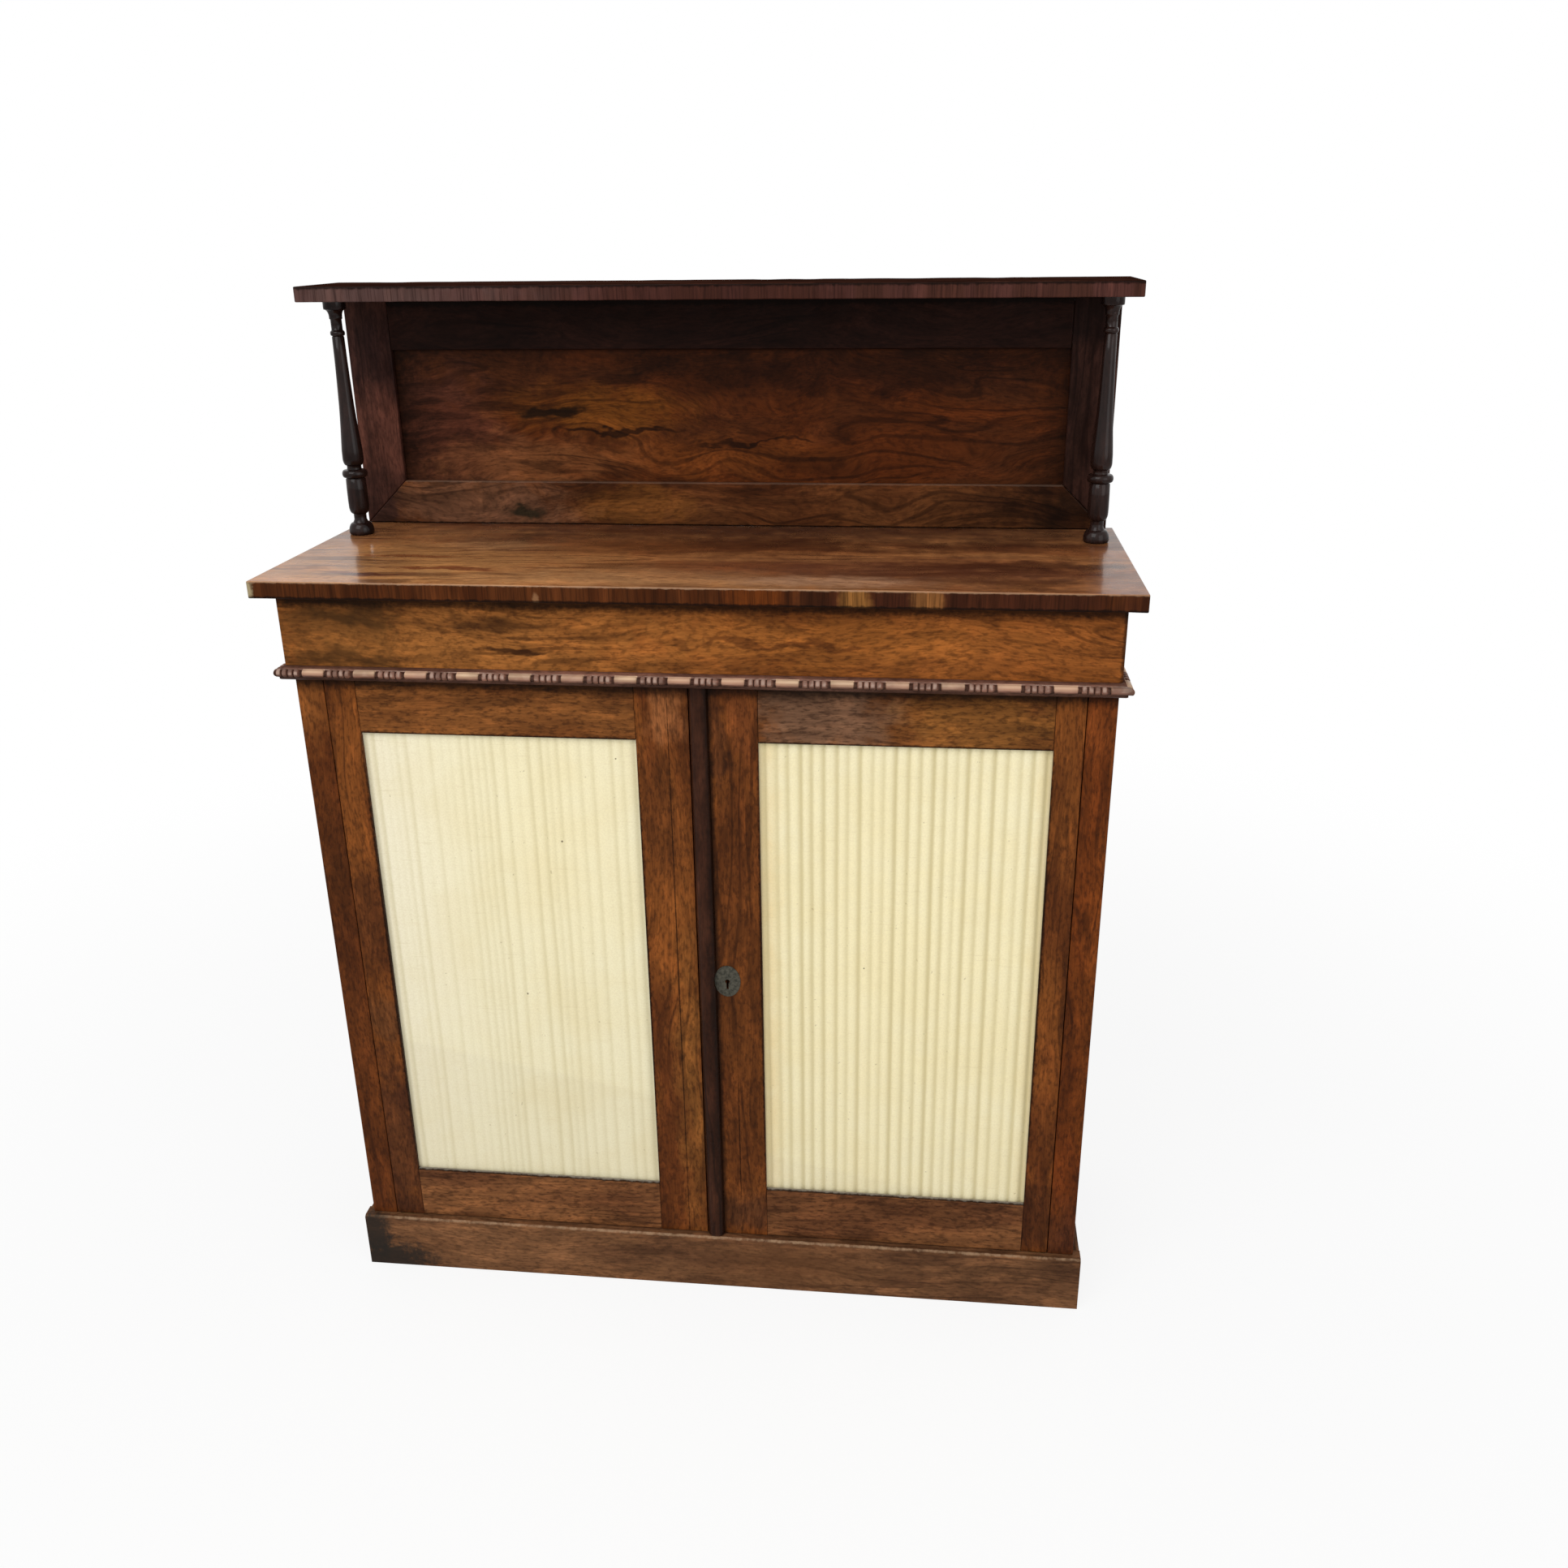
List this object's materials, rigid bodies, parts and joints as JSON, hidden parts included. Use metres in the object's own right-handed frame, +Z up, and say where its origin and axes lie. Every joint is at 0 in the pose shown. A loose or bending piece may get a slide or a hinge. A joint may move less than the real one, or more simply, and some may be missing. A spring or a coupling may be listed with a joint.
{
  "type": "chiffonier",
  "caption": "Rosewood cupboard with two pleated silk doors, a bead-and-reel frieze moulding and a raised shelf on turned columns before a framed back.",
  "frame": {"origin": "on the floor, under the middle of the bounding box", "axes": "+X to the viewer's right, +Y from the doors towards the back, +Z up"},
  "size_m": [1, 0.3556, 1.3],
  "materials": {
    "rosewood": "satin polish, dark figured",
    "golden_rosewood": "satin polish, warm figured",
    "polished_rosewood": "high polish",
    "turned_rosewood": "satin polish, turned",
    "ebonised_wood": "ebonised satin",
    "beaded_wood": "satin polish, turned",
    "carcase_wood": "bare, planed",
    "silk": "pleated cream silk",
    "brass": "dulled",
    "aged_brass": "darkened, grey brown",
    "steel": "dull"
  },
  "bodies": {
    "cabinet": {"worktop": "polished_rosewood", "upper_shelf": "polished_rosewood", "column_left": "turned_rosewood", "column_right": "turned_rosewood", "back_stile_left": "rosewood", "back_stile_right": "rosewood", "back_top_rail": "rosewood", "back_bottom_rail": "rosewood", "back_panel": "rosewood", "frieze_rail": "golden_rosewood", "bead_moulding_front": "beaded_wood", "bead_moulding_left": "beaded_wood", "bead_moulding_right": "beaded_wood", "side_panel_left": "rosewood", "side_panel_right": "rosewood", "front_stile_left": "rosewood", "front_stile_right": "rosewood", "plinth_front": "rosewood", "plinth_left": "rosewood", "plinth_right": "rosewood", "bottom_board": "carcase_wood", "back_board": "carcase_wood", "rear_rail": "carcase_wood", "inner_shelf": "carcase_wood", "shelf_bearer_left": "carcase_wood", "shelf_bearer_right": "carcase_wood", "door_stop": "carcase_wood", "left_top_socket": "brass", "left_bottom_socket": "brass", "right_top_socket": "brass", "right_bottom_socket": "brass"},
    "left_door": {"left_door_outer_stile": "rosewood", "left_door_inner_stile": "rosewood", "left_door_top_rail": "rosewood", "left_door_bottom_rail": "rosewood", "left_door_silk": "silk", "left_door_backing": "carcase_wood", "left_top_pivot": "brass", "left_bottom_pivot": "brass", "top_bolt_plate": "brass", "bottom_bolt_plate": "brass"},
    "right_door": {"right_door_outer_stile": "rosewood", "right_door_inner_stile": "rosewood", "right_door_top_rail": "rosewood", "right_door_bottom_rail": "rosewood", "right_door_silk": "silk", "right_door_backing": "carcase_wood", "right_top_pivot": "brass", "right_bottom_pivot": "brass", "astragal": "ebonised_wood", "escutcheon": "aged_brass", "lock_case": "brass"},
    "lock_bolt": {"lock_bolt": "steel"},
    "top_bolt": {"top_bolt": "brass"},
    "bottom_bolt": {"bottom_bolt": "brass"}
  },
  "joints": [
    {"name": "left_door_hinge", "type": "hinge", "parent": "cabinet", "child": "left_door", "pos_m": [-0.4348, -0.12145, 0.4765], "axis": [0, 0, -1], "range_deg": [0, 120]},
    {"name": "right_door_hinge", "type": "hinge", "parent": "cabinet", "child": "right_door", "pos_m": [0.4348, -0.12145, 0.4765], "axis": [0, 0, 1], "range_deg": [0, 120]},
    {"name": "lock_bolt_slide", "type": "slide", "parent": "right_door", "child": "lock_bolt", "axis": [-1, 0, 0], "range_m": [0, 0.008]},
    {"name": "top_bolt_slide", "type": "slide", "parent": "left_door", "child": "top_bolt", "axis": [0, 0, 1], "range_m": [0, 0.01]},
    {"name": "bottom_bolt_slide", "type": "slide", "parent": "left_door", "child": "bottom_bolt", "axis": [0, 0, -1], "range_m": [0, 0.01]}
  ]
}
